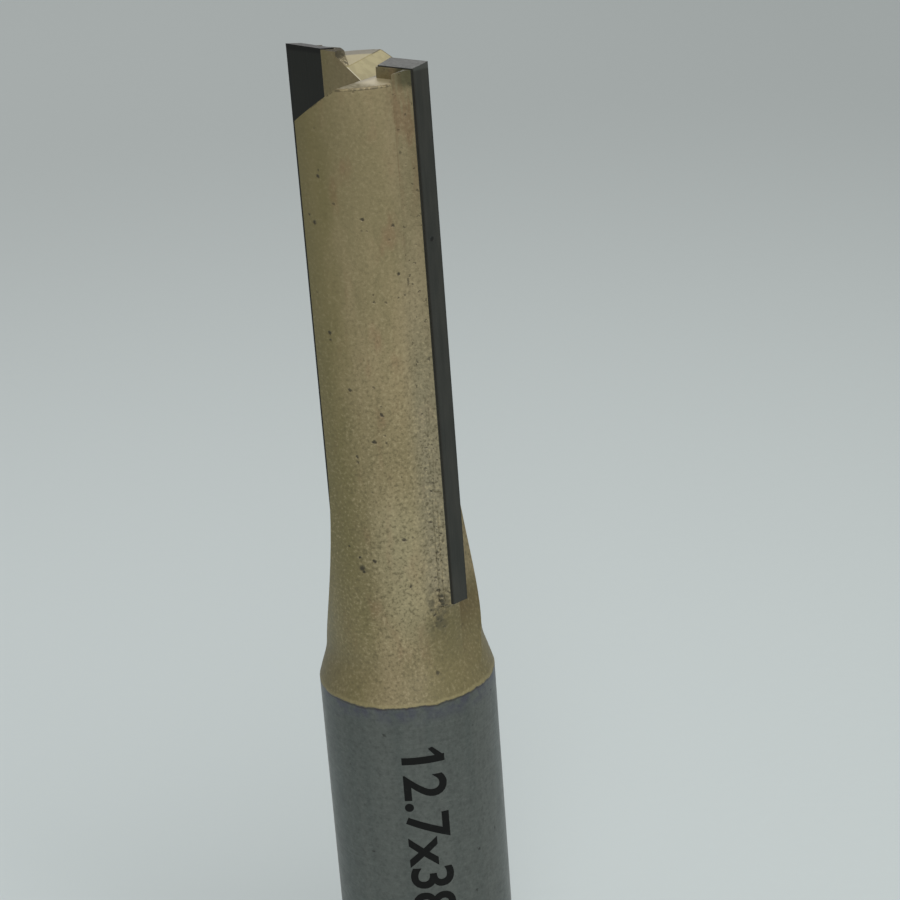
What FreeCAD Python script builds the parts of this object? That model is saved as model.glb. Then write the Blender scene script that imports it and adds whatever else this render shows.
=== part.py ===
import FreeCAD, Part
import os
import sys

import Sketcher

# Straight two-flute router bit, 12.7 mm cutter on a 12.7 mm shank.
#
# The steel body is one turned and milled bar. Its shank stands on Z = 0 and its tips point up
# along +Z. Two tungsten carbide blades lie in milled seats with their rake faces in the plane
# Y = 0, which holds the axis: blade 1 cuts at +X and blade 2 at -X. Each is held by a thin
# layer of brazing alloy that ends in a bead beside the blade. The two flutes and the two end
# gashes are cut one by one, and those on the -Y side are deeper. So blade 2 keeps a horn of
# steel behind its inner end, and blade 1 has none.

# Driving sizes, in millimetres and degrees
SIZES = (
    ("shank_diameter", 12.7, "half-inch shank"),
    ("shank_length", 38.1, "shank below the shoulder"),
    ("shank_bevel", 0.6, "bevel round the foot of the shank"),
    ("cutting_diameter", 12.7, "circle that both cutting edges run on"),
    ("cutting_length", 38.1, "length of the blades"),
    ("neck_length", 7.1, "from the foot of the blades to the shoulder's lower corner"),
    ("head_diameter", 11.2, "turned head behind the blades"),
    ("shoulder_rise", 2.5, "height of the cone between shank and head"),
    ("shoulder_round", 4.0, "hollow round where the cone meets the head"),
    ("rim_round", 0.12, "round on the rim of the steel's end"),
    ("end_set_back", 1.1, "steel's end below the tips of the blades"),
    ("blade_width", 3.2, "blade, from its cutting edge inwards"),
    ("blade_thickness", 1.3, "blade, from its rake face to its back"),
    ("side_relief_angle", 8.0, "blade's outer land falls away from the cutting edge"),
    ("end_relief_angle", 10.0, "blade's end falls away from the end cutting edge"),
    ("dish_angle", 1.0, "end cutting edge falls towards the axis"),
    ("braze_gap", 0.1, "layer of brazing alloy round a blade"),
    ("bead_reach", 0.55, "how far the bead reaches out along the back of a blade"),
    ("bead_spread", 0.9, "how far the bead spreads over the head"),
    ("bead_round", 2.2, "hollow face of the bead"),
    ("horn_front", 1.8, "horn's upper face ends this far from the axis, in the rake plane"),
    ("horn_toe", 0.5, "horn's foot ends this far from the axis, in the rake plane"),
    ("horn_outside", 4.7, "horn's outer end from the axis"),
    ("horn_past_seat", 0.15, "horn's outer end, past the back of the seat"),
    ("horn_corner_side", 3.6, "horn's far corner from the axis, along the blade"),
    ("horn_corner_back", 2.4, "horn's far corner behind the rake plane"),
    ("grinding_drop", 0.08, "ground steel and brazing below the ground end of the blade"),
    ("flute_floor", 1.75, "floor of a flute from the axis, in the rake plane"),
    ("flute_tilt_angle", 11.5, "floor of a flute leans in towards its heel"),
    ("cutter_radius", 40.0, "radius of the flute's run-out"),
    ("deep_flute_run_out", 27.6, "straight part of the deeper flute, from the tips"),
    ("shallow_flute_run_out", 25.8, "straight part of the shallower flute, from the tips"),
    ("deep_gash_depth", 2.87, "deeper end gash below the tips, at the axis"),
    ("deep_gash_angle", 34.6, "its floor climbs towards the blade behind it"),
    ("deep_gash_lean_angle", 1.0, "its floor falls away from the rake plane"),
    ("shallow_gash_depth", 1.7, "shallower end gash below the tips, at the axis"),
    ("shallow_gash_angle", 34.1, "its floor climbs towards the blade behind it"),
    ("shallow_gash_rise_angle", 17.0, "its floor climbs along the horn, away from the rake plane"),
    ("clearance_around", 3.0, "how far the cutting tools run out past the bit"),
)

# Sizes that follow from them
FOLLOWING = (
    ("shank_radius", "=shank_diameter / 2"),
    ("cutting_radius", "=cutting_diameter / 2"),
    ("head_radius", "=head_diameter / 2"),
    ("shoulder_top", "=shank_length + shoulder_rise"),
    ("shoulder_angle", "=atan((shank_diameter - head_diameter) / 2 / shoulder_rise)"),
    ("hollow_reach", "=shoulder_round * tan(shoulder_angle / 2)"),
    ("hollow_top", "=shoulder_top + hollow_reach"),
    ("hollow_foot", "=shoulder_top - hollow_reach * cos(shoulder_angle)"),
    ("hollow_side", "=head_diameter / 2 + hollow_reach * sin(shoulder_angle)"),
    ("hollow_centre", "=head_diameter / 2 + shoulder_round"),
    ("blade_foot", "=shank_length + neck_length"),
    ("tip_top", "=blade_foot + cutting_length"),
    ("steel_top", "=tip_top - end_set_back"),
    ("blade_inside", "=cutting_radius - blade_width"),
    ("dish_drop", "=blade_width * tan(dish_angle * 1deg)"),
    ("blade_inside_top", "=tip_top - dish_drop"),
    ("seat_inside", "=blade_inside - braze_gap"),
    ("seat_foot", "=blade_foot - braze_gap"),
    ("seat_depth", "=blade_thickness + braze_gap"),
    ("horn_back", "=seat_depth + horn_past_seat"),
    ("horn_side_shift", "=-(horn_corner_side - horn_front) / horn_corner_back"),
    ("reach", "=max(cutting_radius; shank_radius) + clearance_around"),
    ("above", "=tip_top + clearance_around"),
    ("run_out_side", "=flute_floor + cutter_radius"),
    ("deep_flute_start", "=tip_top - deep_flute_run_out"),
    ("deep_flute_foot", "=deep_flute_start - cutter_radius"),
    ("shallow_flute_start", "=tip_top - shallow_flute_run_out"),
    ("shallow_flute_foot", "=shallow_flute_start - cutter_radius"),
    ("flute_heel_shift", "=tan(flute_tilt_angle * 1deg)"),
    ("side_relief_shift", "=-tan(side_relief_angle * 1deg)"),
    ("end_relief_fall", "=-tan(end_relief_angle * 1deg)"),
    ("deep_gash_fall", "=-tan(deep_gash_lean_angle * 1deg)"),
    ("shallow_gash_rise", "=tan(shallow_gash_rise_angle * 1deg)"),
    ("end_slope", "=tan(dish_angle * 1deg)"),
    ("end_far_top", "=tip_top + (reach - cutting_radius) * end_slope"),
    ("end_near_top", "=tip_top - (reach + cutting_radius) * end_slope"),
    ("ground_far_top", "=end_far_top - grinding_drop"),
    ("ground_near_top", "=end_near_top - grinding_drop"),
    ("deep_gash_slope", "=tan(deep_gash_angle * 1deg)"),
    ("deep_gash_low", "=tip_top - deep_gash_depth - reach * deep_gash_slope"),
    ("deep_gash_side", "=(deep_gash_depth + clearance_around) / deep_gash_slope"),
    ("shallow_gash_slope", "=tan(shallow_gash_angle * 1deg)"),
    ("shallow_gash_low", "=tip_top - shallow_gash_depth - reach * shallow_gash_slope"),
    ("shallow_gash_high", "=tip_top - shallow_gash_depth + horn_front * shallow_gash_slope"),
    ("horn_root", "=steel_top - rim_round"),
    ("horn_height", "=tip_top - horn_root"),
    ("land_corner", "=sqrt(head_radius ^ 2 - seat_depth ^ 2)"),
    ("foot_corner", "=sqrt(head_radius ^ 2 - blade_thickness ^ 2)"),
    ("bead_tip", "=land_corner + bead_reach"),
    ("bead_foot_angle", "=asin(seat_depth / head_radius) + bead_spread / head_radius * 1rad"),
    ("bead_foot_side", "=head_radius * cos(bead_foot_angle)"),
    ("bead_foot_back", "=head_radius * sin(bead_foot_angle)"),
    ("bead_centre_side", "=bead_tip + bead_round"),
    ("braze_length", "=tip_top - seat_foot"),
)

SIDES = 2
HALF_TURN = 180
TOLERANCE = 1e-5
UP = FreeCAD.Vector(0, 0, 1)

doc = FreeCAD.newDocument("router_bit")


def make_sheet():
    """The spreadsheet of sizes: a name, its value and what it is in each row."""
    sheet = doc.addObject("Spreadsheet::Sheet", "sizes")
    row = 0
    for alias, value, meaning in SIZES:
        row += 1
        sheet.set(f"A{row}", alias)
        sheet.set(f"B{row}", str(value))
        sheet.set(f"C{row}", meaning)
        sheet.setAlias(f"B{row}", alias)
    for alias, formula in FOLLOWING:
        row += 1
        sheet.set(f"A{row}", alias)
        sheet.set(f"B{row}", formula)
        sheet.setAlias(f"B{row}", alias)
    doc.recompute()
    return sheet


sizes = make_sheet()


def size(name):
    """The value of a size. A name may carry a minus sign, and 0 is 0."""
    if name == 0:
        return 0.0
    sign = -1.0 if name.startswith("-") else 1.0
    value = sizes.get(name.lstrip("-"))
    return sign * float(getattr(value, "Value", value))


def formula(name):
    """The same size as an expression."""
    sign = "-" if name.startswith("-") else ""
    return f"{sign}sizes.{name.lstrip('-')}"


def plane_of(body, role):
    """One of the body's own origin planes or axes, by its role."""
    for feature in body.Origin.OriginFeatures:
        if feature.Role == role:
            return feature
    raise LookupError(role)


def add_sketch(body, name, role):
    """A sketch on one of the body's origin planes."""
    sketch = body.newObject("Sketcher::SketchObject", name)
    sketch.AttachmentSupport = [(plane_of(body, role), "")]
    sketch.MapMode = "FlatFace"
    return sketch


def hold(sketch, kind, geometry, point, name):
    """Hold a point at a named distance from the sketch's origin along one of its axes."""
    if name == 0:
        axis = -2 if kind == "DistanceX" else -1
        sketch.addConstraint(Sketcher.Constraint("PointOnObject", geometry, point, axis))
        return
    start = (-1, 1, geometry, point)
    if size(name) < 0:
        start = (geometry, point, -1, 1)
        name = name[1:] if name.startswith("-") else "-" + name
    index = sketch.addConstraint(Sketcher.Constraint(kind, *start, abs(size(name))))
    sketch.setExpression(f"Constraints[{index}]", formula(name))


def draw_outline(sketch, corners, rounds=None):
    """A closed outline through named corners.

    rounds gives an arc from a corner to the next one: its radius, and a point near its centre.
    """
    rounds = rounds or {}
    points = [FreeCAD.Vector(size(x), size(y), 0) for x, y in corners]
    for number, start in enumerate(points):
        end = points[(number + 1) % len(points)]
        if number in rounds:
            radius, centre = rounds[number]
            middle = FreeCAD.Vector(size(centre[0]), size(centre[1]), 0)
            sketch.addGeometry(arc_between(start, end, middle, size(radius)), False)
        else:
            sketch.addGeometry(Part.LineSegment(start, end), False)
    first_point = {}
    for number in range(len(points)):
        first_point[number] = point_at(sketch, number, points[number])
    for number in range(len(points)):
        following = (number + 1) % len(points)
        last_point = 3 - first_point[number]
        ends = (number, last_point, following, first_point[following])
        sketch.addConstraint(Sketcher.Constraint("Coincident", *ends))
    for number, (x, y) in enumerate(corners):
        if x == 0 and y == 0:
            ends = (number, first_point[number], -1, 1)
            sketch.addConstraint(Sketcher.Constraint("Coincident", *ends))
            continue
        hold(sketch, "DistanceX", number, first_point[number], x)
        hold(sketch, "DistanceY", number, first_point[number], y)
    for number, (radius, _) in rounds.items():
        index = sketch.addConstraint(Sketcher.Constraint("Radius", number, size(radius)))
        sketch.setExpression(f"Constraints[{index}]", formula(radius))


def arc_between(start, end, near, radius):
    """The arc from start to end that bends round the side where near lies."""
    chord = end - start
    middle = (start + end) * 0.5
    across = UP.cross(chord)
    across.normalize()
    height = (radius ** 2 - (chord.Length / 2) ** 2) ** 0.5
    side = 1 if across.dot(near - middle) > 0 else -1
    centre = middle + across * (side * height)
    outwards = across * -side
    return Part.Arc(start, centre + outwards * radius, end)


def point_at(sketch, geometry, place):
    """Which end of a piece of an outline lies at a place: 1 for its start and 2 for its end."""
    start = sketch.getPoint(geometry, 1)
    end = sketch.getPoint(geometry, 2)
    return 1 if start.distanceToPoint(place) < end.distanceToPoint(place) else 2


def mill(body, sketch, name, depth, lean=(0, 0), towards=-1):
    """Cut a sketch of the rake plane away towards -Y, or with towards=1 towards +Y.

    lean gives how far the cut shifts along X and Z for each millimetre of its way.
    """
    cut = body.newObject("PartDesign::Pocket", name)
    cut.Profile = sketch
    cut.Type = "Length"
    cut.UseCustomVector = True
    cut.AlongSketchNormal = True
    cut.Direction = FreeCAD.Vector(size(lean[0]), towards, size(lean[1]))
    if lean[0] != 0:
        cut.setExpression("Direction.x", formula(lean[0]))
    if lean[1] != 0:
        cut.setExpression("Direction.z", formula(lean[1]))
    cut.setExpression("Length", formula(depth))
    return cut


def circle_edge(feature, radius, height):
    """The name of a feature's round edge of a named radius at a named height."""
    for number, edge in enumerate(feature.Shape.Edges, 1):
        if not isinstance(edge.Curve, Part.Circle):
            continue
        same_radius = abs(edge.Curve.Radius - size(radius)) < TOLERANCE
        same_height = abs(edge.Curve.Center.z - size(height)) < TOLERANCE
        if same_radius and same_height:
            return f"Edge{number}"
    raise LookupError(f"no round edge at {height}")


def dress_edges(body, kind, name, base, edges, amount):
    """A fillet or chamfer of a named size on edges of the feature before it."""
    doc.recompute()
    dress = body.newObject(f"PartDesign::{kind}", name)
    dress.Base = (base, edges)
    dress.setExpression("Radius" if kind == "Fillet" else "Size", formula(amount))
    doc.recompute()
    return dress


def repeat_half_turn(body, originals, name):
    """Repeat features on the bit's other side."""
    pattern = body.newObject("PartDesign::PolarPattern", name)
    pattern.Originals = originals
    pattern.Axis = (plane_of(body, "Z_Axis"), [""])
    pattern.Angle = 360
    pattern.Occurrences = SIDES
    body.Tip = pattern
    return pattern


# Steel body

def turn_blank(body):
    """The turned bar: shank, shoulder cone and head, before any milling."""
    sketch = add_sketch(body, "bar_profile", "XZ_Plane")
    draw_outline(sketch, (
        (0, 0),
        ("shank_radius", 0),
        ("shank_radius", "shank_length"),
        ("hollow_side", "hollow_foot"),
        ("head_radius", "hollow_top"),
        ("head_radius", "steel_top"),
        (0, "steel_top"),
    ), {3: ("shoulder_round", ("hollow_centre", "hollow_top"))})
    bar = body.newObject("PartDesign::Revolution", "bar")
    bar.Profile = sketch
    bar.ReferenceAxis = (sketch, ["V_Axis"])
    bar.Angle = 360
    doc.recompute()
    foot = circle_edge(bar, "shank_radius", 0)
    bevel = dress_edges(body, "Chamfer", "foot_bevel", bar, [foot], "shank_bevel")
    rim = circle_edge(bevel, "head_radius", "steel_top")
    return dress_edges(body, "Fillet", "end_rim", bevel, [rim], "rim_round")


def mill_flute(body, name, side):
    """A straight flute on one side of X that climbs out of the head on the cutter's radius."""
    sign = "-" if side < 0 else ""
    sketch = add_sketch(body, f"{name}_profile", "XZ_Plane")
    draw_outline(sketch, (
        (f"{sign}flute_floor", "above"),
        (f"{sign}flute_floor", f"{name}_start"),
        (f"{sign}run_out_side", f"{name}_foot"),
        (f"{sign}run_out_side", "above"),
    ), {1: ("cutter_radius", (f"{sign}run_out_side", f"{name}_start"))})
    heel_shift = "flute_heel_shift" if side < 0 else "-flute_heel_shift"
    return mill(body, sketch, name, "reach", (heel_shift, 0), towards=side)


def make_horn(body):
    """The horn of steel behind the inner end of blade 2, flush with the blade's end."""
    sketch = add_sketch(body, "horn_plan", "XY_Plane")
    sketch.setExpression("AttachmentOffset.Base.z", formula("horn_root"))
    draw_outline(sketch, (
        ("-horn_toe", 0),
        ("-horn_outside", 0),
        ("-horn_outside", "horn_back"),
        ("-horn_corner_side", "horn_corner_back"),
    ))
    horn = body.newObject("PartDesign::Pad", "horn")
    horn.Profile = sketch
    horn.setExpression("Length", formula("horn_height"))
    return horn


def mill_seat(body):
    """The seat of a blade, open towards its cutting edge and at the end."""
    sketch = add_sketch(body, "seat_profile", "XZ_Plane")
    draw_outline(sketch, (
        ("seat_inside", "seat_foot"),
        ("reach", "seat_foot"),
        ("reach", "above"),
        ("seat_inside", "above"),
    ))
    return mill(body, sketch, "seat", "seat_depth")


def grind_end(body, name, far_top, near_top):
    """Grind the end off along the dished cutting edge, with its relief behind."""
    sketch = add_sketch(body, f"{name}_profile", "XZ_Plane")
    draw_outline(sketch, (
        ("reach", far_top),
        ("reach", "above"),
        ("-reach", "above"),
        ("-reach", near_top),
    ))
    return mill(body, sketch, name, "reach", (0, "end_relief_fall"))


def grind_deep_gash(body):
    """The slanting gash in front of blade 2, which opens the flute across the end."""
    sketch = add_sketch(body, "deep_gash_profile", "XZ_Plane")
    draw_outline(sketch, (
        ("-reach", "deep_gash_low"),
        ("deep_gash_side", "above"),
        ("-reach", "above"),
    ))
    return mill(body, sketch, "deep_gash", "reach", (0, "deep_gash_fall"))


def grind_shallow_gash(body):
    """The gash in front of blade 1. Its side wall stands along the horn of blade 2."""
    sketch = add_sketch(body, "shallow_gash_profile", "XZ_Plane")
    draw_outline(sketch, (
        ("reach", "shallow_gash_low"),
        ("-horn_front", "shallow_gash_high"),
        ("-horn_front", "above"),
        ("reach", "above"),
    ))
    lean = ("horn_side_shift", "shallow_gash_rise")
    return mill(body, sketch, "shallow_gash", "reach", lean, towards=1)


def make_steel_body():
    """The bar with its flutes, seats and ground end."""
    body = doc.addObject("PartDesign::Body", "steel_body")
    turn_blank(body)
    mill_flute(body, "deep_flute", side=-1)
    mill_flute(body, "shallow_flute", side=1)
    make_horn(body)
    seat = mill_seat(body)
    grinding = grind_end(body, "end_grind", "ground_far_top", "ground_near_top")
    repeat_half_turn(body, [seat, grinding], "both_sides")
    grind_deep_gash(body)
    body.Tip = grind_shallow_gash(body)
    return body


# Carbide blades and their brazing

def make_blade(number, turn):
    """A carbide blade with its side and end ground back from the cutting edges."""
    body = doc.addObject("PartDesign::Body", f"carbide_tip_{number}")
    outline = add_sketch(body, "blade_outline", "XZ_Plane")
    draw_outline(outline, (
        ("blade_inside", "blade_foot"),
        ("cutting_radius", "blade_foot"),
        ("cutting_radius", "tip_top"),
        ("blade_inside", "blade_inside_top"),
    ))
    blade = body.newObject("PartDesign::Pad", "blade")
    blade.Profile = outline
    blade.setExpression("Length", formula("blade_thickness"))
    side = add_sketch(body, "side_profile", "XZ_Plane")
    draw_outline(side, (
        ("cutting_radius", "shank_length"),
        ("reach", "shank_length"),
        ("reach", "above"),
        ("cutting_radius", "above"),
    ))
    mill(body, side, "side_relief", "reach", ("side_relief_shift", 0))
    grind_end(body, "end_relief", "end_far_top", "end_near_top")
    body.Placement = FreeCAD.Placement(FreeCAD.Vector(), FreeCAD.Rotation(UP, turn))
    return body


def make_braze(number, turn):
    """The layer of brazing alloy round a blade, with the bead beside the blade's back."""
    body = doc.addObject("PartDesign::Body", f"braze_seam_{number}")
    plan = add_sketch(body, "layer_plan", "XY_Plane")
    plan.setExpression("AttachmentOffset.Base.z", formula("seat_foot"))
    draw_outline(plan, (
        ("seat_inside", 0),
        ("blade_inside", 0),
        ("blade_inside", "-blade_thickness"),
        ("bead_tip", "-blade_thickness"),
        ("bead_foot_side", "-bead_foot_back"),
        ("land_corner", "-seat_depth"),
        ("seat_inside", "-seat_depth"),
    ), {
        3: ("bead_round", ("bead_centre_side", "-bead_foot_back")),
        4: ("head_radius", (0, 0)),
    })
    layer = body.newObject("PartDesign::Pad", "layer")
    layer.Profile = plan
    layer.setExpression("Length", formula("braze_length"))
    foot_plan = add_sketch(body, "foot_plan", "XY_Plane")
    foot_plan.setExpression("AttachmentOffset.Base.z", formula("seat_foot"))
    draw_outline(foot_plan, (
        ("blade_inside", 0),
        ("head_radius", 0),
        ("foot_corner", "-blade_thickness"),
        ("blade_inside", "-blade_thickness"),
    ), {1: ("head_radius", (0, 0))})
    foot = body.newObject("PartDesign::Pad", "foot_layer")
    foot.Profile = foot_plan
    foot.setExpression("Length", formula("braze_gap"))
    grind_end(body, "layer_grind", "ground_far_top", "ground_near_top")
    body.Placement = FreeCAD.Placement(FreeCAD.Vector(), FreeCAD.Rotation(UP, turn))
    return body


def make_bit():
    """Every piece of the bit, each a body of its own."""
    bodies = [make_steel_body()]
    for number in range(1, SIDES + 1):
        turn = HALF_TURN * (number - 1)
        bodies.append(make_blade(number, turn))
        bodies.append(make_braze(number, turn))
    return bodies


def write_pieces(bodies):
    """Check every object of the document, and write each piece under its own name."""
    doc.recompute()
    for thing in doc.Objects:
        if "Invalid" in thing.State or "Error" in thing.State:
            sys.exit(f"{thing.Name} failed: {thing.State}")
    os.makedirs("parts", exist_ok=True)
    for body in bodies:
        shape = body.Shape
        if shape.isNull() or not shape.isValid() or len(shape.Solids) != 1:
            sys.exit(f"{body.Label} is not one valid solid")
        shape.exportStep(f"parts/{body.Label}.step")
        print(f"{body.Label}: {shape.Volume:.1f} mm3, {len(shape.Faces)} faces")


write_pieces(make_bit())
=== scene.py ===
import math

import bmesh
import bpy
from mathutils import Matrix, Vector


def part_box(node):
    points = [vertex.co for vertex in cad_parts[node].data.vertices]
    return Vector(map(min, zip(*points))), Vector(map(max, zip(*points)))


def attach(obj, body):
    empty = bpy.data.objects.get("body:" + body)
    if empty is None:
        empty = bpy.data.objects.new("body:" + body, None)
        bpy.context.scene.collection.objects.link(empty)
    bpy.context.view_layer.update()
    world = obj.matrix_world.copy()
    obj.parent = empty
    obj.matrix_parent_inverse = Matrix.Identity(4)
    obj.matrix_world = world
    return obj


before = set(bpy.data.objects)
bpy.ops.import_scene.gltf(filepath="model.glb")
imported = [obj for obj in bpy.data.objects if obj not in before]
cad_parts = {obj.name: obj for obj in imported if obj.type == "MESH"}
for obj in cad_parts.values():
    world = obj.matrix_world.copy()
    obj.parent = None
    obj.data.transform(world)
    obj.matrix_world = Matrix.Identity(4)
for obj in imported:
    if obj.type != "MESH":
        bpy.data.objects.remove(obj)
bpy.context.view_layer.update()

# Sizes of the bit, in millimetres, read from the solids
MM = 0.001
BODY_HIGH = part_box("steel_body")[1] / MM
TIP_LOW, TIP_HIGH = (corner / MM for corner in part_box("carbide_tip_1"))
SHANK_RADIUS = BODY_HIGH.x
TIP_TOP = TIP_HIGH.z
BLADE_FOOT = TIP_LOW.z
BLADE_BACK = -TIP_LOW.y
HEAD_RADIUS = SHANK_RADIUS - 0.75
SHANK_TOP = BLADE_FOOT - 7.1
STEEL_TOP = TIP_TOP - 1.1

# Camera, at the photograph's viewing angle
LENS = 99.7
CAMERA_PLACE = Vector((111.79, -117.43, 119.18)) * MM
CAMERA_AZIMUTH = math.radians(42.08)
CAMERA_ELEVATION = math.radians(21.69)
CAMERA_ROLL = math.radians(4.3)

# Ground end: floor of the deeper gash at the axis, and its climb for each millimetre along X
DEEP_GASH_LEVEL = TIP_TOP - 2.96
DEEP_GASH_CLIMB = math.tan(math.radians(34.6))

# Lacquer: its lower edge, the side on which shade is painted, its relief over the steel and its gloss
LACQUER_LINE = SHANK_TOP - 0.05
PAINTED_SHADE_SIDE = math.radians(-138)
LACQUER_STEP = 1.2
LACQUER_METAL = 0.45
STEEL_METAL = 0.85
GLOSS_WEIGHT = 0.25
GLOSS_ROUGHNESS = 0.35

# Pits in the lacquer and in the bead, and specks on the shank, each as its angle round the axis in
# degrees, its height and its radius
LACQUER_PITS = (
    (-80, 76.4, 0.13), (-79, 76.8, 0.09), (-90, 73.7, 0.10), (-86, 73.2, 0.16), (-70, 74.6, 0.09),
    (-51, 73.5, 0.13), (-52, 72.7, 0.07), (-49, 72.7, 0.07), (-31, 72.9, 0.12), (-29, 69.5, 0.13),
    (-48, 68.3, 0.09), (-48, 67.8, 0.10), (-40, 67.7, 0.08), (-31, 67.9, 0.09), (-26, 68.0, 0.08),
    (-82, 65.6, 0.14), (-82, 65.1, 0.10), (-70, 61.6, 0.12), (-53, 61.8, 0.08), (-49, 60.4, 0.08),
    (-49, 59.8, 0.14), (-56, 57.9, 0.15), (-48, 58.3, 0.08), (-48, 57.8, 0.09), (-69, 56.8, 0.12),
    (-69, 56.4, 0.10), (-39, 55.2, 0.08), (-41, 50.55, 0.15), (-35, 50.65, 0.08), (-82, 50.0, 0.10),
    (-74, 49.25, 0.14), (-73, 48.45, 0.24), (-72, 48.2, 0.14), (-63, 49.05, 0.13), (-39, 47.0, 0.14),
    (-41, 47.5, 0.07), (-23, 44.5, 0.17), (-25, 44.9, 0.10), (-21, 44.1, 0.12), (-18, 43.9, 0.12),
    (-22, 43.6, 0.09), (-16, 43.4, 0.10), (-25, 40.1, 0.14), (-23, 40.0, 0.07), (-21, 81.0, 0.16),
)
BEAD_PITS = (
    (-19, 46.3, 0.13), (-18, 45.9, 0.16), (-18, 45.5, 0.15), (-17, 45.2, 0.13), (-15, 45.1, 0.10),
    (-20, 47.3, 0.10), (-18, 49.2, 0.10), (-21, 51.5, 0.11), (-19, 53.8, 0.09), (-20, 57.0, 0.09),
)
SHANK_SPECKS = (
    (20, 37.0, 0.12), (-65, 35.9, 0.13), (-80, 26.2, 0.12), (-6, 25.4, 0.13), (-11, 22.2, 0.12),
    (11, 26.2, 0.10), (-4, 35.4, 0.08), (-84, 30.0, 0.08), (-31, 30.4, 0.07), (-93, 33.0, 0.08),
)

# Size mark, which reads down the shank
MARK = "12.7x38"
MARK_TOP = SHANK_TOP - 3.3
MARK_BASE_ANGLE = math.radians(-54.6)
MARK_LETTER_HEIGHT = 3.17
MARK_BOLDNESS = 0.065
MARK_THICKNESS = 0.03
MARK_FACET = 0.3
MARK_FLAG_REACH = 0.85
MARK_FLAG_DROP = 0.95
MARK_FLAG_WIDTH = 0.46

# Brazing bead beside a blade
BEAD_RADIUS = 0.26
BEAD_SPACING = 0.12
BEAD_LUMPS = 0.7

# Floor
FLOOR_SIZE = 8.0


class Nodes:
    """Adds nodes to one tree. An input given as a socket is linked, any other is set."""

    def __init__(self, tree):
        self.tree = tree

    def add(self, kind, inputs=None, **settings):
        node = self.tree.nodes.new(kind)
        for name, value in settings.items():
            setattr(node, name, value)
        for name, value in (inputs or {}).items():
            if isinstance(value, bpy.types.NodeSocket):
                self.tree.links.new(value, node.inputs[name])
            else:
                node.inputs[name].default_value = value
        return node

    def math(self, operation, first, second=0.0, third=0.0):
        inputs = {0: first, 1: second, 2: third}
        return self.add("ShaderNodeMath", inputs, operation=operation).outputs[0]

    def times(self, product, *factors):
        for factor in factors:
            product = self.math("MULTIPLY", product, factor)
        return product

    def more(self, first, second):
        return self.math("MAXIMUM", first, second)

    def spread(self, value, low, high, to_low=0.0, to_high=1.0, smooth=True):
        """value taken from low..high to to_low..to_high, held at the ends."""
        kind = "SMOOTHSTEP" if smooth else "LINEAR"
        names = ("Value", "From Min", "From Max", "To Min", "To Max")
        inputs = dict(zip(names, (value, low, high, to_low, to_high)))
        return self.add("ShaderNodeMapRange", inputs, interpolation_type=kind).outputs[0]

    def band(self, value, low, high, soft):
        """1 where value lies between low and high, with edges of a soft width."""
        rise = self.spread(value, low - soft, low + soft)
        fall = self.spread(value, high - soft, high + soft, 1.0, 0.0)
        return self.times(rise, fall)

    def mix(self, factor, first, second):
        """A colour between two, or a colour and a socket."""
        node = self.add("ShaderNodeMix", {0: factor, 6: first, 7: second}, data_type="RGBA")
        return node.outputs[2]

    def stretch(self, vector, x, y, z):
        inputs = {0: vector, 1: (x, y, z)}
        return self.add("ShaderNodeVectorMath", inputs, operation="MULTIPLY").outputs[0]

    def noise(self, vector, scale, detail=2.0, rough=0.5):
        inputs = {"Vector": vector, "Scale": scale, "Detail": detail, "Roughness": rough}
        return self.add("ShaderNodeTexNoise", inputs).outputs["Fac"]

    def group(self, tree, **inputs):
        node = self.tree.nodes.new("ShaderNodeGroup")
        node.node_tree = tree
        for name, value in inputs.items():
            socket = node.inputs[name.replace("_", " ")]
            if isinstance(value, bpy.types.NodeSocket):
                self.tree.links.new(value, socket)
            else:
                socket.default_value = value
        return node.outputs


def colour(red, green, blue):
    """A colour written as 0 to 255 on a screen, as the linear values that a socket takes."""
    values = [v / 255 for v in (red, green, blue)]
    linear = [v / 12.92 if v <= 0.04045 else ((v + 0.055) / 1.055) ** 2.4 for v in values]
    return (*linear, 1.0)


def new_group(name, inputs, outputs):
    """An empty shader group. inputs and outputs are (name, kind) or (name, kind, value)."""
    tree = bpy.data.node_groups.new(name, "ShaderNodeTree")
    for way, sockets in (("INPUT", inputs), ("OUTPUT", outputs)):
        for label, kind, *value in sockets:
            socket = tree.interface.new_socket(name=label, in_out=way, socket_type=f"NodeSocket{kind}")
            if value:
                socket.default_value = value[0]
    nodes = Nodes(tree)
    start = nodes.add("NodeGroupInput").outputs
    end = nodes.add("NodeGroupOutput")
    return tree, nodes, start, end


# Effects that several finishes share

def make_pits_group():
    """Small round pits scattered over a surface, as a mask."""
    inputs = (
        ("Place", "Vector"), ("Spacing", "Float", 1.0), ("Radius", "Float", 0.1), ("Share", "Float", 0.4),
    )
    tree, nodes, start, end = new_group("scattered pits", inputs, (("Pits", "Float"),))
    scale = nodes.math("DIVIDE", 1.0, start["Spacing"])
    cells = nodes.add("ShaderNodeTexVoronoi", {"Vector": start["Place"], "Scale": scale})
    distance = nodes.times(cells.outputs["Distance"], start["Spacing"])
    chance = nodes.add("ShaderNodeSeparateColor", {"Color": cells.outputs["Color"]}).outputs["Red"]
    chosen = nodes.math("LESS_THAN", chance, start["Share"])
    inner = nodes.times(start["Radius"], 0.5)
    spot = nodes.spread(distance, inner, start["Radius"], 1.0, 0.0)
    nodes.tree.links.new(nodes.times(spot, chosen), end.inputs["Pits"])
    return tree


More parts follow.
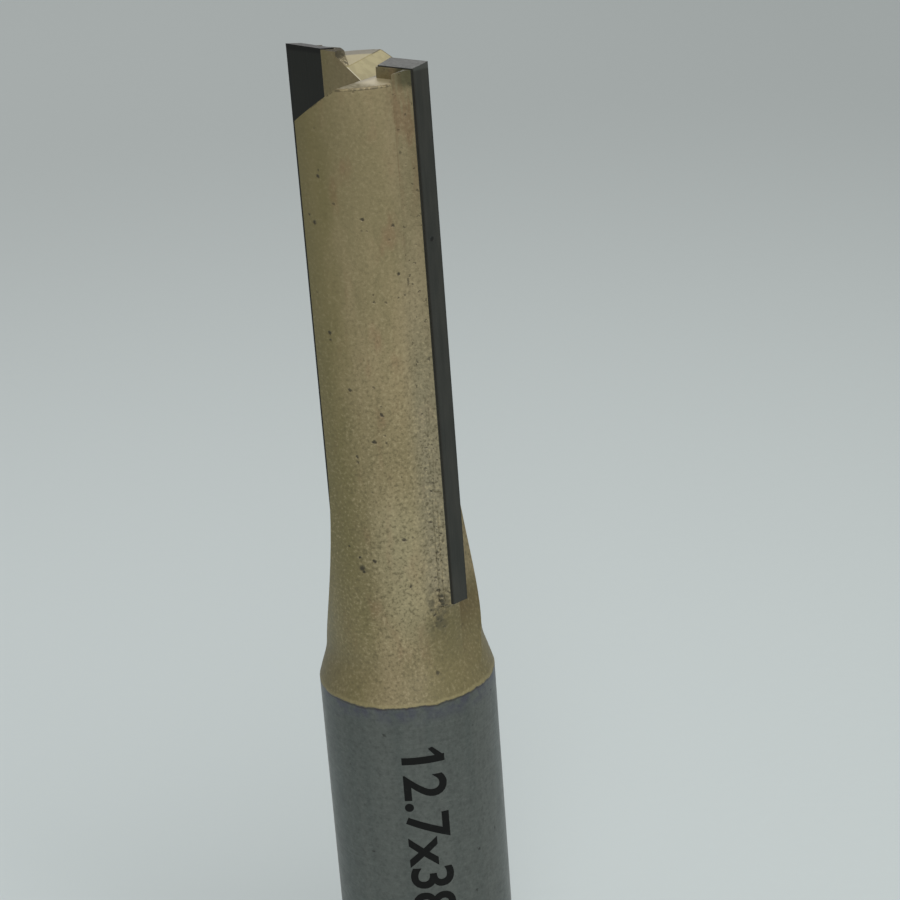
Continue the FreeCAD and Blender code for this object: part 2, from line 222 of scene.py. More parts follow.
def make_grinding_group():
    """Fine lines that run one way: across Z for turned steel, along Z for ground blades."""
    inputs = (("Place", "Vector"), ("Across", "Float", 0.1), ("Along Z", "Float", 6.0))
    tree, nodes, start, end = new_group("grinding lines", inputs, (("Lines", "Float"),))
    parts = nodes.add("ShaderNodeSeparateXYZ", {0: start["Place"]}).outputs
    pulled = nodes.add("ShaderNodeCombineXYZ", {
        "X": nodes.times(parts["X"], start["Across"]),
        "Y": nodes.times(parts["Y"], start["Across"]),
        "Z": nodes.times(parts["Z"], start["Along Z"]),
    }).outputs[0]
    lines = nodes.noise(pulled, 1.0, 3.0, 0.6)
    nodes.tree.links.new(nodes.spread(lines, 0.3, 0.7, smooth=False), end.inputs["Lines"])
    return tree


def make_lacquer_group(pits, grinding):
    """Semi-matt bronze lacquer over turned steel, with painted shade and painted highlight where asked:
    colour, roughness and height.
    """
    inputs = (
        ("Place", "Vector"), ("Pits", "Float", 0.0), ("Brown", "Float", 0.0), ("Pale", "Float", 0.0),
        ("Thick", "Float", 0.0), ("Rubbed", "Float", 0.0),
    )
    outputs = (("Colour", "Color"), ("Roughness", "Float"), ("Height", "Float"))
    tree, nodes, start, end = new_group("bronze lacquer", inputs, outputs)
    place = start["Place"]
    parts = nodes.add("ShaderNodeSeparateXYZ", {0: place}).outputs
    patches = nodes.noise(nodes.stretch(place, 0.45, 0.45, 0.10), 1.0, 3.0, 0.55)
    shade = nodes.mix(nodes.spread(patches, 0.35, 0.65), colour(127, 116, 82), colour(142, 128, 94))
    rusty = nodes.noise(nodes.stretch(place, 0.5, 0.5, 0.16), 1.6, 2.0)
    shade = nodes.mix(nodes.spread(rusty, 0.56, 0.76, 0.0, 0.45), shade, colour(128, 100, 72))
    shade = nodes.mix(start["Brown"], shade, colour(118, 84, 52))
    # Painted shade down one side of the head
    shade = nodes.mix(nodes.times(start["Thick"], 0.54), shade, colour(104, 97, 50))
    # Painted highlight
    shade = nodes.mix(nodes.times(start["Rubbed"], 0.45), shade, colour(158, 150, 118))
    shade = nodes.mix(nodes.times(start["Pale"], 0.6), shade, colour(137, 131, 111))

    grain = nodes.noise(place, 4.5, 2.0, 0.6)
    fine = nodes.noise(place, 8.0, 1.0)
    calm = nodes.math("MULTIPLY_ADD", start["Thick"], -0.25, 1.0)
    strength = nodes.times(nodes.spread(parts["Z"], 76.0, 48.0, 0.45, 1.3), calm)
    strength = nodes.math("MULTIPLY_ADD", start["Pale"], 0.4, strength)
    dark = nodes.times(nodes.spread(grain, 0.5, 0.30, 0.0, 0.47), strength)
    light = nodes.times(nodes.spread(grain, 0.52, 0.72, 0.0, 0.45), strength)
    shade = nodes.mix(dark, shade, colour(82, 74, 48))
    shade = nodes.mix(light, shade, colour(170, 157, 122))

    small = nodes.group(pits, Place=place, Spacing=0.9, Radius=0.11, Share=0.16)["Pits"]
    warp = nodes.spread(fine, 0.35, 0.65, 0.4, 1.0)
    holes = nodes.more(nodes.times(small, warp, 0.55), start["Pits"])
    shade = nodes.mix(nodes.times(holes, 0.85), shade, colour(38, 32, 20))

    lines = nodes.group(grinding, Place=place, Across=0.12, Along_Z=4.0)["Lines"]
    rough = nodes.math("MULTIPLY_ADD", grain, 0.16, 0.38)
    height = nodes.math("MULTIPLY_ADD", grain, 0.6, nodes.times(lines, 0.12))
    height = nodes.math("MULTIPLY_ADD", holes, -1.2, height)
    nodes.tree.links.new(shade, end.inputs["Colour"])
    nodes.tree.links.new(rough, end.inputs["Roughness"])
    nodes.tree.links.new(height, end.inputs["Height"])
    return tree


# Materials

def new_material(name):
    """A material with its nodes, its shader and its place on the piece in millimetres."""
    material = bpy.data.materials.new(name)
    material.use_nodes = True
    nodes = Nodes(material.node_tree)
    shader = material.node_tree.nodes["Principled BSDF"]
    spot = nodes.add("ShaderNodeTexCoord").outputs["Object"]
    place = nodes.stretch(spot, 1 / MM, 1 / MM, 1 / MM)
    parts = nodes.add("ShaderNodeSeparateXYZ", {0: place}).outputs
    return material, nodes, shader, place, parts


def finish(nodes, shader, shade, rough, height, depth, metallic=None):
    """Feed a shader: depth is the relief of a height of 1, in millimetres."""
    links = nodes.tree.links
    links.new(shade, shader.inputs["Base Color"])
    links.new(rough, shader.inputs["Roughness"])
    if metallic is not None:
        links.new(metallic, shader.inputs["Metallic"])
    bump = nodes.add("ShaderNodeBump", {"Height": height, "Distance": depth * MM})
    links.new(bump.outputs[0], shader.inputs["Normal"])


def marks_at(nodes, parts, place, radius, marks):
    """A mask of dots on a cylinder, at angles in degrees and heights, each with its own radius."""
    angle = nodes.math("ARCTAN2", parts["Y"], parts["X"])
    around = nodes.times(angle, radius)
    wobble = nodes.noise(place, 4.0, 2.0)
    flat = nodes.add("ShaderNodeCombineXYZ", {
        "X": nodes.math("MULTIPLY_ADD", wobble, 0.35, around),
        "Y": nodes.math("MULTIPLY_ADD", wobble, -0.25, parts["Z"]),
    }).outputs[0]
    mask = 0.0
    for turn, level, size in marks:
        centre = (math.radians(turn) * radius + 0.175, level - 0.125, 0)
        way = nodes.add("ShaderNodeVectorMath", {0: flat, 1: centre}, operation="DISTANCE")
        depth = min(1.0, size / 0.13)
        dot = nodes.spread(way.outputs["Value"], 0.4 * size, 1.35 * size, depth, 0.0)
        mask = nodes.more(dot, mask)
    return mask


def behind_rake(nodes, parts):
    """How far a point lies behind the rake plane of the blade on its side of the axis."""
    side = nodes.math("SIGN", parts["X"])
    return nodes.times(nodes.times(parts["Y"], side), -1.0)


def pale_beside_bead(nodes, behind, along, level):
    """Where the lacquer lies thin and pale over and beside the bead: stronger lower down."""
    band = nodes.times(nodes.spread(behind, 1.9, 3.3, 1.0, 0.0), nodes.spread(behind, 0.6, 1.2),
                       nodes.band(along, 4.2, 7.0, 0.4))
    lower = nodes.spread(level, BLADE_FOOT + 30, BLADE_FOOT + 8, 0.2, 0.85)
    foot = nodes.spread(level, BLADE_FOOT - 0.4, BLADE_FOOT + 1.8)
    return nodes.times(band, lower, foot)


def shade_at_foot(nodes, behind, along, level, place):
    """Painted shade, in patches, where the bead ends."""
    patch = nodes.band(level, BLADE_FOOT - 2.0, BLADE_FOOT + 1.2, 0.9)
    patch = nodes.times(patch, nodes.band(behind, 1.3, 2.7, 0.5), nodes.band(along, 4.2, 7.0, 0.4))
    return nodes.times(patch, nodes.spread(nodes.noise(place, 1.4, 3.0, 0.7), 0.38, 0.60))


def ground_end_tones(nodes, shade, place, parts):
    """Ground and worn tones of the end over the lacquer, with painted highlights and shade, and a mask of its
    dull spots.
    """
    level = parts["Z"]
    flat = nodes.stretch(place, 1, 1, 0)
    reach = nodes.add("ShaderNodeVectorMath", {0: flat}, operation="LENGTH").outputs["Value"]
    inside_rim = nodes.spread(reach, HEAD_RADIUS - 0.06, HEAD_RADIUS - 0.14)
    ground = nodes.times(inside_rim, nodes.spread(level, TIP_TOP - 4.5, TIP_TOP - 3.5))
    rub_and_sheen = nodes.spread(nodes.noise(place, 1.7, 3.0), 0.40, 0.60, 0.75, 0.95)
    flecks = nodes.noise(place, 3.4, 3.0, 0.7)
    far_side = nodes.spread(parts["Y"], 0.0, 0.02)
    near_side = nodes.spread(parts["Y"], -1.0, -1.5)

    # Floors of the two gashes
    gashed = nodes.times(nodes.spread(level, STEEL_TOP + 0.01, STEEL_TOP - 0.02), far_side)
    shade = nodes.mix(nodes.times(ground, gashed, rub_and_sheen), shade, colour(206, 195, 150))
    shade = nodes.mix(nodes.times(ground, near_side, rub_and_sheen), shade, colour(116, 107, 77))

    # Flat end on the far side, and its rim
    at_end = nodes.spread(level, STEEL_TOP - 0.06, STEEL_TOP - 0.01)
    flat_end = nodes.times(at_end, far_side, nodes.spread(level, STEEL_TOP + 0.06, STEEL_TOP + 0.01))
    shade = nodes.mix(nodes.times(flat_end, 0.85), shade, colour(172, 158, 104))
    far_rim = nodes.times(flat_end, nodes.spread(reach, HEAD_RADIUS - 1.6, HEAD_RADIUS - 1.2))
    shade = nodes.mix(nodes.times(far_rim, 0.9), shade, colour(96, 90, 68))

    # Painted highlight on the near step, and painted shade towards its left, where it is also duller
    step_highlight = nodes.times(near_side, inside_rim, nodes.spread(level, STEEL_TOP - 0.9, STEEL_TOP - 0.3))
    step_highlight = nodes.times(step_highlight, nodes.spread(parts["X"], 2.3, 3.5))
    shade = nodes.mix(nodes.times(step_highlight, 0.8), shade, colour(208, 195, 158))
    near_left = nodes.times(inside_rim, near_side, nodes.spread(parts["Y"], -2.5, -3.5))
    near_left = nodes.times(near_left, nodes.spread(level, STEEL_TOP - 1.2, STEEL_TOP - 0.4))
    patches = nodes.noise(place, 2.6, 3.0, 0.7)
    near_left = nodes.times(near_left, nodes.spread(patches, 0.35, 0.62, 0.9, 0.5))
    shade = nodes.mix(near_left, shade, colour(112, 104, 76))

    # Painted glint along the edge at the rake plane, and the horn with painted glints among dark flecks and
    # its dark top
    edge_glint = nodes.times(gashed, ground, nodes.spread(parts["Y"], 0.16, 0.08))
    shade = nodes.mix(nodes.times(edge_glint, 0.8), shade, colour(240, 232, 206))
    across = nodes.times(nodes.spread(parts["X"], -3.6, -3.2), nodes.spread(parts["X"], -0.4, -0.6))
    horn = nodes.times(nodes.spread(level, STEEL_TOP + 0.02, STEEL_TOP + 0.10), across, far_side)
    glints = nodes.times(horn, nodes.spread(flecks, 0.5, 0.62, 0.0, 0.8))
    dark = nodes.times(horn, nodes.spread(flecks, 0.46, 0.36, 0.0, 0.7))
    shade = nodes.mix(glints, shade, colour(226, 214, 176))
    shade = nodes.mix(dark, shade, colour(70, 64, 42))
    horn_top = nodes.times(nodes.spread(level, TIP_TOP - 0.75, TIP_TOP - 0.55), far_side)
    shade = nodes.mix(nodes.times(horn_top, 0.9), shade, colour(44, 40, 24))

    # Painted shadow: a broken dark line under the near rim
    near_floor = nodes.math("MULTIPLY_ADD", parts["X"], DEEP_GASH_CLIMB, DEEP_GASH_LEVEL)
    rim_level = nodes.math("MINIMUM", near_floor, STEEL_TOP - 0.08)
    rim_shadow = nodes.band(nodes.math("SUBTRACT", rim_level, level), -0.06, 0.09, 0.04)
    outside = nodes.spread(reach, HEAD_RADIUS - 0.05, HEAD_RADIUS - 0.02)
    rim_shadow = nodes.times(rim_shadow, nodes.spread(parts["X"], 0.2, 1.4), near_side, outside)
    rim_shadow = nodes.times(rim_shadow, nodes.spread(flecks, 0.56, 0.44))
    shade = nodes.mix(nodes.times(rim_shadow, 0.7), shade, colour(58, 52, 34))
    return shade, nodes.more(horn_top, near_left)


def head_coat(nodes, lacquer, place, parts):
    """The lacquer over the head and shoulder, with painted shade and painted highlight: its colour,
    roughness, height and dull spots.
    """
    level = parts["Z"]
    along = nodes.math("ABSOLUTE", parts["X"])
    behind = behind_rake(nodes, parts)

    # Tints left by the torch at the foot and by brazing at the top
    heat = nodes.band(level, BLADE_FOOT - 2.5, BLADE_FOOT + 4.0, 1.5)
    heat = nodes.times(heat, nodes.band(along, 3.6, 7.0, 0.5), nodes.spread(behind, 0.4, -0.6))
    top_brown = nodes.spread(level, TIP_TOP - 9, TIP_TOP - 2)
    top_brown = nodes.times(top_brown, nodes.spread(behind, 3.0, 1.6), nodes.band(along, 4.6, 7.0, 0.3))
    streaks = nodes.noise(nodes.stretch(place, 3.0, 3.0, 0.5), 1.0, 2.0)
    streaks = nodes.spread(streaks, 0.42, 0.62)
    brown = nodes.more(heat, nodes.times(top_brown, streaks, 0.6))

    # Painted shade down one side and low on the other side, and a painted highlight in the middle near the
    # foot
    unit = 1 / HEAD_RADIUS
    side = nodes.times(parts["Y"], math.sin(PAINTED_SHADE_SIDE) * unit)
    side = nodes.math("MULTIPLY_ADD", parts["X"], math.cos(PAINTED_SHADE_SIDE) * unit, side)
    drift = nodes.noise(nodes.stretch(place, 0.4, 0.4, 0.15), 1.0, 3.0, 0.6)
    side = nodes.math("MULTIPLY_ADD", drift, 0.5, nodes.math("SUBTRACT", side, 0.25))
    below_foot = nodes.spread(level, BLADE_FOOT + 0.3, BLADE_FOOT - 1.7)
    painted_shade = nodes.times(nodes.spread(side, -0.08, -0.42), below_foot)
    painted_shade = nodes.more(painted_shade, nodes.spread(side, 0.20, 0.62))
    rub_and_sheen = nodes.band(level, BLADE_FOOT - 2, BLADE_FOOT + 8, 2.5)
    rub_and_sheen = nodes.times(rub_and_sheen, nodes.band(side, -0.35, 0.15, 0.2))

    holes = marks_at(nodes, parts, place, HEAD_RADIUS, LACQUER_PITS)
    pale = pale_beside_bead(nodes, behind, along, level)
    coat = nodes.group(lacquer, Place=place, Pits=holes, Brown=brown, Pale=pale, Thick=painted_shade, Rubbed=rub_and_sheen)
    shade, dull_spots = ground_end_tones(nodes, coat["Colour"], place, parts)
    # Painted shade where the bead ends
    foot_shade = shade_at_foot(nodes, behind, along, level, place)
    shade = nodes.mix(nodes.times(foot_shade, 0.75), shade, colour(70, 66, 50))
    # Painted shade low on one side and over the shoulder cone
    low_shade = nodes.times(below_foot, nodes.spread(side, 0.10, -0.45, 0.0, 0.36))
    cone_shade = nodes.spread(level, BLADE_FOOT - 2.0, BLADE_FOOT - 5, 0.0, 0.28)
    shade = nodes.mix(nodes.more(low_shade, cone_shade), shade, colour(78, 71, 44))
    upper = nodes.spread(level, BLADE_FOOT + 22, TIP_TOP - 2, 0.0, 0.14)
    shade = nodes.mix(upper, shade, colour(92, 80, 52))

    dull = nodes.spread(level, BLADE_FOOT - 1, BLADE_FOOT - 5, 0.0, 0.22)
    rough = nodes.math("ADD", coat["Roughness"], dull)
    return shade, rough, coat["Height"], dull_spots


def shank_steel(nodes, pits, grinding, place, parts, edge):
    """Ground steel below the lacquer's edge: its colour, roughness and height."""
    lines = nodes.group(grinding, Place=place, Across=0.15, Along_Z=7.0)["Lines"]
    bands = nodes.noise(nodes.stretch(place, 0.35, 0.35, 0.02), 1.0, 2.0)
    cloud = nodes.noise(place, 1.1, 4.0, 0.6)
    mottle = nodes.noise(place, 3.2, 3.0, 0.7)
    shade = nodes.mix(nodes.spread(bands, 0.35, 0.65), colour(88, 93, 90), colour(101, 104, 100))
    shade = nodes.mix(nodes.spread(cloud, 0.45, 0.75, 0.0, 0.35), shade, colour(82, 84, 82))
    shade = nodes.mix(nodes.spread(lines, 0.5, 1.0, 0.0, 0.16), shade, colour(118, 121, 116))
    shade = nodes.mix(nodes.spread(mottle, 0.50, 0.34, 0.0, 0.34), shade, colour(70, 72, 70))
    shade = nodes.mix(nodes.spread(mottle, 0.52, 0.68, 0.0, 0.30), shade, colour(118, 122, 117))
    tint = nodes.times(nodes.spread(edge, -1.8, -0.2), nodes.spread(cloud, 0.35, 0.65))
    shade = nodes.mix(nodes.times(tint, 0.5), shade, colour(80, 78, 98))
    specks = marks_at(nodes, parts, place, SHANK_RADIUS, SHANK_SPECKS)
    dust = nodes.group(pits, Place=place, Spacing=1.3, Radius=0.16, Share=0.12)["Pits"]
    specks = nodes.more(nodes.times(specks, 0.8), nodes.times(dust, 0.3))
    shade = nodes.mix(nodes.times(specks, 0.7), shade, colour(42, 42, 40))
    dark_edge = nodes.times(nodes.band(edge, -0.13, 0.0, 0.06), 0.45)
    shade = nodes.mix(dark_edge, shade, colour(62, 50, 40))
    rough = nodes.math("MULTIPLY_ADD", cloud, 0.18, 0.32)
    height = nodes.math("MULTIPLY_ADD", specks, -0.8, nodes.times(lines, 0.25))
    return shade, rough, height


def make_body_finish(lacquer, pits, grinding):
    """Ground steel on the shank, and bronze lacquer above a wavy line at the shoulder."""
    material, nodes, shader, place, parts = new_material("body_finish")
    level = parts["Z"]
    waves = nodes.noise(place, 0.9, 3.0, 0.6)
    edge = nodes.math("SUBTRACT", level, nodes.math("MULTIPLY_ADD", waves, 0.5, LACQUER_LINE - 0.25))
    painted = nodes.spread(edge, -0.03, 0.05)
    thick_edge = nodes.times(nodes.band(edge, 0.05, 0.28, 0.10), 0.35)

    coat_shade, coat_rough, coat_height, dull_spots = head_coat(nodes, lacquer, place, parts)
    coat_shade = nodes.mix(thick_edge, coat_shade, colour(150, 140, 100))
    steel, steel_rough, steel_height = shank_steel(nodes, pits, grinding, place, parts, edge)

    shade = nodes.mix(painted, steel, coat_shade)
    gain = nodes.math("SUBTRACT", coat_rough, steel_rough)
    rough = nodes.math("MULTIPLY_ADD", painted, gain, steel_rough)
    rough = nodes.math("MULTIPLY_ADD", dull_spots, 0.35, rough)
    step = nodes.math("SUBTRACT", nodes.math("ADD", coat_height, LACQUER_STEP), steel_height)
    height = nodes.math("MULTIPLY_ADD", painted, step, steel_height)
    coat_metal = nodes.spread(level, BLADE_FOOT - 1, BLADE_FOOT - 5, LACQUER_METAL, 0.20)
    coat_metal = nodes.times(coat_metal, nodes.spread(dull_spots, 0.0, 1.0, 1.0, 0.2))
    metal_gain = nodes.math("SUBTRACT", coat_metal, STEEL_METAL)
    metallic = nodes.math("MULTIPLY_ADD", painted, metal_gain, STEEL_METAL)
    finish(nodes, shader, shade, rough, height, 0.03, metallic)
    shader.inputs["Coat Roughness"].default_value = GLOSS_ROUGHNESS
    coat_weight = nodes.times(painted, nodes.spread(dull_spots, 0.0, 1.0, GLOSS_WEIGHT, 0.0))
    nodes.tree.links.new(coat_weight, shader.inputs["Coat Weight"])
    return material


def make_seam_finish(lacquer):
    """Brazing alloy under lacquer: streaked brown near the tips and pale lower down."""
    material, nodes, shader, place, parts = new_material("seam_finish")
    level = parts["Z"]
    streaks = nodes.noise(nodes.stretch(place, 2.4, 2.4, 0.35), 1.0, 3.0)
    streaks = nodes.spread(streaks, 0.40, 0.62)
    top = nodes.spread(level, TIP_TOP - 12, TIP_TOP - 2)
    voids = nodes.spread(nodes.noise(place, 2.6, 2.0, 0.6), 0.36, 0.30, 0.0, 0.6)
    voids = nodes.more(voids, marks_at(nodes, parts, place, HEAD_RADIUS, BEAD_PITS))
    along = nodes.math("ABSOLUTE", parts["X"])
    behind = behind_rake(nodes, parts)
    brown = nodes.times(streaks, top, nodes.spread(along, 4.4, 5.0, 0.0, 0.6))
    pale = pale_beside_bead(nodes, behind, along, level)
    coat = nodes.group(lacquer, Place=place, Pits=voids, Brown=brown, Pale=pale)
    # Painted shade where the bead ends
    foot_shade = shade_at_foot(nodes, behind, along, level, place)
    shade = nodes.mix(nodes.times(foot_shade, 0.75), coat["Colour"], colour(70, 66, 50))
    upper = nodes.spread(level, BLADE_FOOT + 14, TIP_TOP - 2, 0.0, 0.24)
    shade = nodes.mix(upper, shade, colour(84, 74, 46))
    olive = nodes.times(nodes.spread(behind, 2.2, 1.6, 0.35, 0.8), nodes.spread(along, 4.6, 5.0),
                        nodes.spread(level, STEEL_TOP - 0.7, STEEL_TOP + 0.1))
    shade = nodes.mix(olive, shade, colour(60, 60, 32))
    finish(nodes, shader, shade, coat["Roughness"], coat["Height"], 0.04)
    shader.inputs["Metallic"].default_value = LACQUER_METAL
    shader.inputs["Coat Weight"].default_value = GLOSS_WEIGHT
    shader.inputs["Coat Roughness"].default_value = GLOSS_ROUGHNESS
    return material


def make_carbide_finish(pits, grinding):
    """Ground tungsten carbide, darker on the polished rake face."""
    material, nodes, shader, place, parts = new_material("carbide_finish")
    lines = nodes.group(grinding, Place=place, Across=5.0, Along_Z=0.12)["Lines"]
    cloud = nodes.noise(nodes.stretch(place, 0.9, 0.9, 0.22), 1.0, 3.0, 0.6)
    shade = nodes.mix(nodes.spread(cloud, 0.3, 0.7), colour(45, 47, 43), colour(56, 56, 51))
    shade = nodes.mix(nodes.times(lines, 0.22), shade, colour(72, 73, 68))
    behind = behind_rake(nodes, parts)
    rake = nodes.spread(behind, 0.03, 0.01)
    shade = nodes.mix(nodes.times(rake, 0.9), shade, colour(34, 35, 31))
    end = nodes.spread(parts["Z"], TIP_TOP - 0.5, TIP_TOP - 0.3)
    inner = nodes.spread(behind, BLADE_BACK - 0.03, BLADE_BACK - 0.08)
    land = nodes.band(nodes.math("ABSOLUTE", parts["X"]), SHANK_RADIUS - 0.25, SHANK_RADIUS + 0.1, 0.02)
    back_edge = nodes.times(nodes.spread(behind, BLADE_BACK - 0.16, BLADE_BACK - 0.02), land)
    shade = nodes.mix(nodes.times(back_edge, 0.5), shade, colour(34, 30, 22))
    front_edge = nodes.times(nodes.spread(behind, 0.10, 0.02), land)
    shade = nodes.mix(nodes.times(front_edge, 0.35), shade, colour(30, 32, 34))
    chips = nodes.group(pits, Place=place, Spacing=0.8, Radius=0.09, Share=0.12)["Pits"]
    spot = nodes.add("ShaderNodeVectorMath", {
        0: place, 1: (SHANK_RADIUS - 0.1, -0.75, BLADE_FOOT + 26.4),
    }, operation="DISTANCE").outputs["Value"]
    chips = nodes.more(nodes.times(chips, 0.5), nodes.spread(spot, 0.10, 0.22, 1.0, 0.0))
    shade = nodes.mix(nodes.times(chips, 0.8), shade, colour(20, 20, 18))
    ground_end = nodes.times(end, inner, nodes.spread(rake, 1.0, 0.0))
    shade = nodes.mix(nodes.times(ground_end, 0.25), shade, colour(110, 112, 108))
    dark_end = nodes.times(end, nodes.spread(parts["X"], -2.0, -3.0))
    shade = nodes.mix(nodes.times(dark_end, 0.8), shade, colour(20, 20, 18))
    rough = nodes.math("MULTIPLY_ADD", lines, 0.14, 0.34)
    height = nodes.math("MULTIPLY_ADD", chips, -1.5, nodes.times(lines, 0.3))
    finish(nodes, shader, shade, rough, height, 0.02)
    shader.inputs["Metallic"].default_value = 0.55
    return material


def make_mark_finish():
    """Black marking ink, a little rubbed."""
    material, nodes, shader, place, parts = new_material("mark_ink")
    worn = nodes.noise(place, 3.0, 3.0, 0.6)
    shade = nodes.mix(nodes.spread(worn, 0.55, 0.75, 0.0, 0.5), colour(12, 13, 12), colour(30, 33, 31))
    rough = nodes.math("MULTIPLY_ADD", worn, 0.2, 0.6)
    finish(nodes, shader, shade, rough, worn, 0.01)
    shader.inputs["Specular IOR Level"].default_value = 0.15
    return material


def make_floor_finish():
    """Plain pale paper, with painted light: brighter round the bit and towards the left."""
    material, nodes, shader, place, parts = new_material("floor_paper")
    away = nodes.add("ShaderNodeVectorMath", {0: place}, operation="LENGTH").outputs["Value"]
    # Painted light: brighter near the bit and on the left, darker far off and on the right
    far = nodes.spread(away, 40, 335)
    left = nodes.mix(far, colour(214, 223, 223), colour(185, 192, 191))
    right = nodes.mix(far, colour(205, 214, 213), colour(174, 181, 180))
    across = nodes.math("MULTIPLY_ADD", parts["X"], math.cos(CAMERA_AZIMUTH),
                        nodes.times(parts["Y"], math.sin(CAMERA_AZIMUTH)))
    shade = nodes.mix(nodes.spread(across, -90, 90, smooth=False), left, right)
    tooth = nodes.noise(place, 0.6, 2.0)
    rough = nodes.math("MULTIPLY_ADD", tooth, 0.1, 0.85)
    finish(nodes, shader, shade, rough, tooth, 0.02)
    return material


# Pieces made here

def link_piece(name, mesh):
    """A finished mesh as a piece of the bit."""
    piece = bpy.data.objects.new(name, mesh)
    bpy.context.scene.collection.objects.link(piece)
    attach(piece, "root")
    return piece


def add_flag(shape):
    """The slanting flag of the first digit, which the plain letters lack."""
    stem = min(vertex.co.x for vertex in shape.verts) + 0.15
    top = max(vertex.co.y for vertex in shape.verts) - 0.03
    outline = (
        (stem, top),
        (stem - MARK_FLAG_REACH, top - MARK_FLAG_DROP + 0.1),
        (stem - MARK_FLAG_REACH + 0.12, top - MARK_FLAG_DROP - MARK_FLAG_WIDTH + 0.25),
        (stem, top - MARK_FLAG_WIDTH - 0.12),
    )
    low = [shape.verts.new((x, y, -MARK_THICKNESS * 0.4)) for x, y in outline]
    high = [shape.verts.new((x, y, MARK_THICKNESS * 0.4)) for x, y in outline]
    shape.faces.new(low)
    shape.faces.new(reversed(high))
    for number in range(len(outline)):
        following = (number + 1) % len(outline)
        shape.faces.new((low[number], high[number], high[following], low[following]))


def flat_letters():
    """The size mark as a closed flat mesh, in millimetres, cut so that it can bend round the shank."""
    curve = bpy.data.curves.new("size_mark_letters", "FONT")
    curve.body = MARK
    curve.size = MARK_LETTER_HEIGHT / 0.73
    curve.offset = MARK_BOLDNESS
    curve.extrude = MARK_THICKNESS / 2
    curve.resolution_u = 5
    letters = bpy.data.objects.new("size_mark_letters", curve)
    bpy.context.scene.collection.objects.link(letters)
    bpy.context.view_layer.update()
    graph = bpy.context.evaluated_depsgraph_get()
    mesh = bpy.data.meshes.new_from_object(letters.evaluated_get(graph))
    bpy.data.objects.remove(letters)
    bpy.data.curves.remove(curve)
    shape = bmesh.new()
    shape.from_mesh(mesh)
    bmesh.ops.remove_doubles(shape, verts=shape.verts, dist=1e-4)
    add_flag(shape)
    cuts = int(MARK_LETTER_HEIGHT / MARK_FACET)
    for number in range(1, cuts + 1):
        everything = shape.verts[:] + shape.edges[:] + shape.faces[:]
        height = number * MARK_LETTER_HEIGHT / cuts - 0.05
        bmesh.ops.bisect_plane(shape, geom=everything, plane_co=(0, height, 0), plane_no=(0, 1, 0))
    bmesh.ops.triangulate(shape, faces=shape.faces)
    bmesh.ops.recalc_face_normals(shape, faces=shape.faces)
    shape.to_mesh(mesh)
    shape.free()
    return mesh


def make_size_mark(material):
    """Letters that read down the shank, wrapped round it."""
    mesh = flat_letters()
    start = min(vertex.co.x for vertex in mesh.vertices)
    for vertex in mesh.vertices:
        angle = MARK_BASE_ANGLE + vertex.co.y / SHANK_RADIUS
        radius = SHANK_RADIUS + vertex.co.z
        level = MARK_TOP - (vertex.co.x - start)
        vertex.co = Vector((radius * math.cos(angle), radius * math.sin(angle), level)) * MM
    mesh.materials.clear()
    mesh.materials.append(material)
    mesh.update()
    return link_piece("size_mark", mesh)


def make_bead_tree(material):
    """Geometry nodes that lay a lumpy bead along a line."""
    tree = bpy.data.node_groups.new("brazing bead", "GeometryNodeTree")
    tree.interface.new_socket(name="Line", in_out="INPUT", socket_type="NodeSocketGeometry")
    for label, value in (("Radius", BEAD_RADIUS * MM), ("Spacing", BEAD_SPACING * MM), ("Lumps", BEAD_LUMPS)):
        socket = tree.interface.new_socket(name=label, in_out="INPUT", socket_type="NodeSocketFloat")
        socket.default_value = value
    tree.interface.new_socket(name="Bead", in_out="OUTPUT", socket_type="NodeSocketGeometry")
    nodes = Nodes(tree)
    start = nodes.add("NodeGroupInput").outputs
    end = nodes.add("NodeGroupOutput")
    line = nodes.add("GeometryNodeMeshToCurve", {"Mesh": start["Line"]}).outputs[0]
    dense = nodes.add("GeometryNodeResampleCurve", {"Curve": line, "Length": start["Spacing"]}, mode="LENGTH")
    place = nodes.add("GeometryNodeInputPosition").outputs[0]
    lump = nodes.noise(place, 420.0, 3.0, 0.6)
    swell = nodes.times(nodes.math("SUBTRACT", lump, 0.5), start["Lumps"])
    level = nodes.add("ShaderNodeSeparateXYZ", {0: place}).outputs["Z"]
    full = nodes.spread(level, (BLADE_FOOT + 20) * MM, BLADE_FOOT * MM, 0.62, 1.0)
    width = nodes.times(nodes.math("ADD", nodes.times(swell, 2.0), 1.0), full)
    radius = nodes.times(width, start["Radius"])
    sized = nodes.add("GeometryNodeSetCurveRadius", {"Curve": dense.outputs[0], "Radius": radius}).outputs[0]
    ring = nodes.add("GeometryNodeCurvePrimitiveCircle", {"Resolution": 12, "Radius": 1.0}).outputs[0]
    tube = nodes.add("GeometryNodeCurveToMesh", {
        "Curve": sized, "Profile Curve": ring, "Scale": radius, "Fill Caps": True,
    }).outputs[0]
    rough = nodes.math("SUBTRACT", nodes.noise(place, 1500.0, 2.0), 0.5)
    normal = nodes.add("GeometryNodeInputNormal").outputs[0]
    shift = nodes.add("ShaderNodeVectorMath", {
        0: normal, "Scale": nodes.times(rough, 0.12 * MM),
    }, operation="SCALE").outputs[0]
    bumpy = nodes.add("GeometryNodeSetPosition", {"Geometry": tube, "Offset": shift}).outputs[0]
    real = nodes.add("GeometryNodeRealizeInstances", {"Geometry": bumpy}).outputs[0]
    done = nodes.add("GeometryNodeSetMaterial", {"Geometry": real, "Material": material}).outputs[0]
    nodes.tree.links.new(done, end.inputs["Bead"])
    return tree


